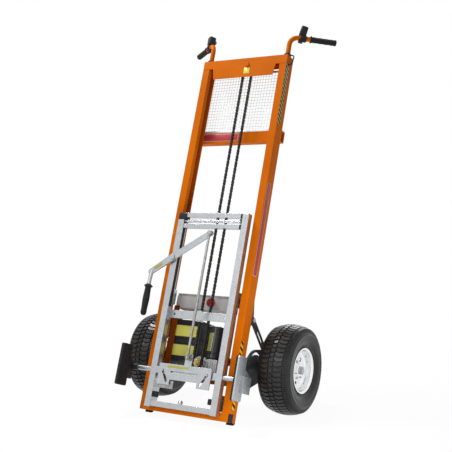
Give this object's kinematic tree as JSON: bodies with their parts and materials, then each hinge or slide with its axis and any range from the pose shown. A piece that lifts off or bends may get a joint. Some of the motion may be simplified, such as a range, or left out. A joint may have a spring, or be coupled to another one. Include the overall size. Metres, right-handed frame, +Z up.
{
  "type": "electric lift trolley",
  "caption": "Leaning two-wheeled trolley with a chain-driven lift carriage on a channel mast, battery drive, and lever-worked side jaws that grip a box-shaped load.",
  "frame": {"origin": "on the floor, under the middle of the bounding box", "axes": "+Z up, -Y towards the load in front of the mast, +X to the right seen from the front"},
  "size_m": [0.706, 0.6904, 1.4711],
  "materials": {
    "orange_paint": "satin powder coat",
    "black_paint": "satin",
    "zinc": "zinc plate",
    "galvanised": "galvanised",
    "chain_steel": "oiled",
    "bare_steel": "machined",
    "yellow_zinc": "yellow passivated zinc",
    "rim": "bright plate",
    "tyre": "matte",
    "rubber": "matte",
    "black_plastic": "textured",
    "battery": "moulded",
    "aluminium": "cast",
    "motor_black": "gloss",
    "red_plastic": "gloss"
  },
  "bodies": {
    "mast": {"upright_left": "orange_paint", "upright_right": "orange_paint", "header": "orange_paint", "mid_crossbar": "orange_paint", "bottom_crossbar": "orange_paint", "end_plugs": "black_plastic", "feet": "rubber", "mesh_guard": "galvanised", "rear_frame": "orange_paint", "battery_tray": "black_paint", "batteries": "battery", "control_box": "aluminium", "lift_chain": "chain_steel", "idler_axle": "zinc", "gearbox": "aluminium", "gearbox_flange": "yellow_zinc", "motor": "motor_black", "axle_arms": "black_paint", "brace_lugs": "black_paint", "braces": "black_paint", "brace_bolts": "zinc", "axle": "black_paint", "handles": "orange_paint", "hand_grips": "rubber", "handle_collars": "black_plastic", "switch_boxes": "black_plastic", "switch_lead": "rubber"},
    "carriage": {"carriage_rails": "zinc", "rail_caps": "zinc", "cross_bars": "zinc", "guide_rod": "zinc", "mid_plate": "zinc", "chain_clevis": "zinc", "roller_brackets": "zinc", "latch_plate": "zinc", "jaw_guide": "zinc", "lever_pivot": "zinc"},
    "idler": {"idler_sprocket": "bare_steel"},
    "drive": {"drive_sprocket": "bare_steel"},
    "wheel_left": {"tyre_left": "tyre", "rim_left": "rim"},
    "wheel_right": {"tyre_right": "tyre", "rim_right": "rim"},
    "lever": {"lever": "zinc", "lever_grip": "rubber"},
    "push_rod": {"push_rod": "zinc"},
    "cam": {"cam_plate": "zinc"},
    "jaw_left": {"jaw_left": "zinc", "jaw_pad_left": "rubber"},
    "jaw_right": {"jaw_right": "zinc", "jaw_pad_right": "rubber"},
    "button_left": {"button_left": "red_plastic"},
    "button_right": {"button_right": "red_plastic"},
    "stop": {"stop_button": "red_plastic"},
    "roller_left_upper": {"roller_left_upper": "black_plastic"},
    "roller_left_lower": {"roller_left_lower": "black_plastic"},
    "roller_right_upper": {"roller_right_upper": "black_plastic"},
    "roller_right_lower": {"roller_right_lower": "black_plastic"}
  },
  "joints": [
    {"name": "lift_slide", "type": "slide", "parent": "mast", "child": "carriage", "axis": [0, 0.3206, 0.9472], "range_m": [0, 0.9]},
    {"name": "idler_turn", "type": "hinge", "parent": "mast", "child": "idler", "pos_m": [0.015, 0.17843, 1.31818], "axis": [0, 0.9472, -0.3206], "continuous": true},
    {"name": "drive_turn", "type": "hinge", "parent": "mast", "child": "drive", "pos_m": [0.015, -0.20167, 0.19523], "axis": [0, 0.9472, -0.3206], "continuous": true},
    {"name": "wheel_left_spin", "type": "hinge", "parent": "mast", "child": "wheel_left", "pos_m": [-0.289, 0.00716, 0.165], "axis": [1, 0, 0], "continuous": true},
    {"name": "wheel_right_spin", "type": "hinge", "parent": "mast", "child": "wheel_right", "pos_m": [0.289, 0.00716, 0.165], "axis": [1, 0, 0], "continuous": true},
    {"name": "lever_swing", "type": "hinge", "parent": "carriage", "child": "lever", "pos_m": [-0.142, -0.12846, 0.57058], "axis": [0, -0.9472, 0.3206], "range_deg": [0, 15]},
    {"name": "rod_swing", "type": "hinge", "parent": "lever", "child": "push_rod", "pos_m": [0.009, -0.10557, 0.66629], "axis": [0, -0.9472, 0.3206], "range_deg": [-15, 0]},
    {"name": "cam_slide", "type": "slide", "parent": "carriage", "child": "cam", "axis": [0, 0.3206, 0.9472], "range_m": [0, 0.03724]},
    {"name": "jaw_left_slide", "type": "slide", "parent": "carriage", "child": "jaw_left", "axis": [1, 0, 0], "range_m": [0, 0.0225]},
    {"name": "jaw_right_slide", "type": "slide", "parent": "carriage", "child": "jaw_right", "axis": [-1, 0, 0], "range_m": [0, 0.0225]},
    {"name": "button_right_press", "type": "slide", "parent": "mast", "child": "button_right", "axis": [0.6019, -0.7564, 0.256], "range_m": [0, 0.003], "stiffness_N_per_m": 900, "springref_m": -0.001},
    {"name": "button_left_press", "type": "slide", "parent": "mast", "child": "button_left", "axis": [-0.6019, -0.7564, 0.256], "range_m": [0, 0.003], "stiffness_N_per_m": 900, "springref_m": -0.001},
    {"name": "stop_press", "type": "slide", "parent": "mast", "child": "stop", "axis": [0, 0.9472, -0.3206], "range_m": [0, 0.004], "stiffness_N_per_m": 1200, "springref_m": -0.001},
    {"name": "roller_left_upper_spin", "type": "hinge", "parent": "carriage", "child": "roller_left_upper", "pos_m": [-0.174, -0.11335, 0.41872], "axis": [1, 0, 0], "continuous": true},
    {"name": "roller_left_lower_spin", "type": "hinge", "parent": "carriage", "child": "roller_left_lower", "pos_m": [-0.174, -0.23198, 0.06825], "axis": [1, 0, 0], "continuous": true},
    {"name": "roller_right_upper_spin", "type": "hinge", "parent": "carriage", "child": "roller_right_upper", "pos_m": [0.174, -0.11335, 0.41872], "axis": [1, 0, 0], "continuous": true},
    {"name": "roller_right_lower_spin", "type": "hinge", "parent": "carriage", "child": "roller_right_lower", "pos_m": [0.174, -0.23198, 0.06825], "axis": [1, 0, 0], "continuous": true}
  ],
  "couplings": [
    {"joint": "idler_turn", "follows": "lift_slide", "rad_per_m": 53.861},
    {"joint": "drive_turn", "follows": "lift_slide", "rad_per_m": 53.861},
    {"joint": "rod_swing", "follows": "lever_swing", "ratio": -0.75028},
    {"joint": "cam_slide", "follows": "lever_swing", "m_per_rad": 0.14034},
    {"joint": "jaw_left_slide", "follows": "lever_swing", "m_per_rad": 0.084034},
    {"joint": "jaw_right_slide", "follows": "lever_swing", "m_per_rad": 0.084034}
  ]
}
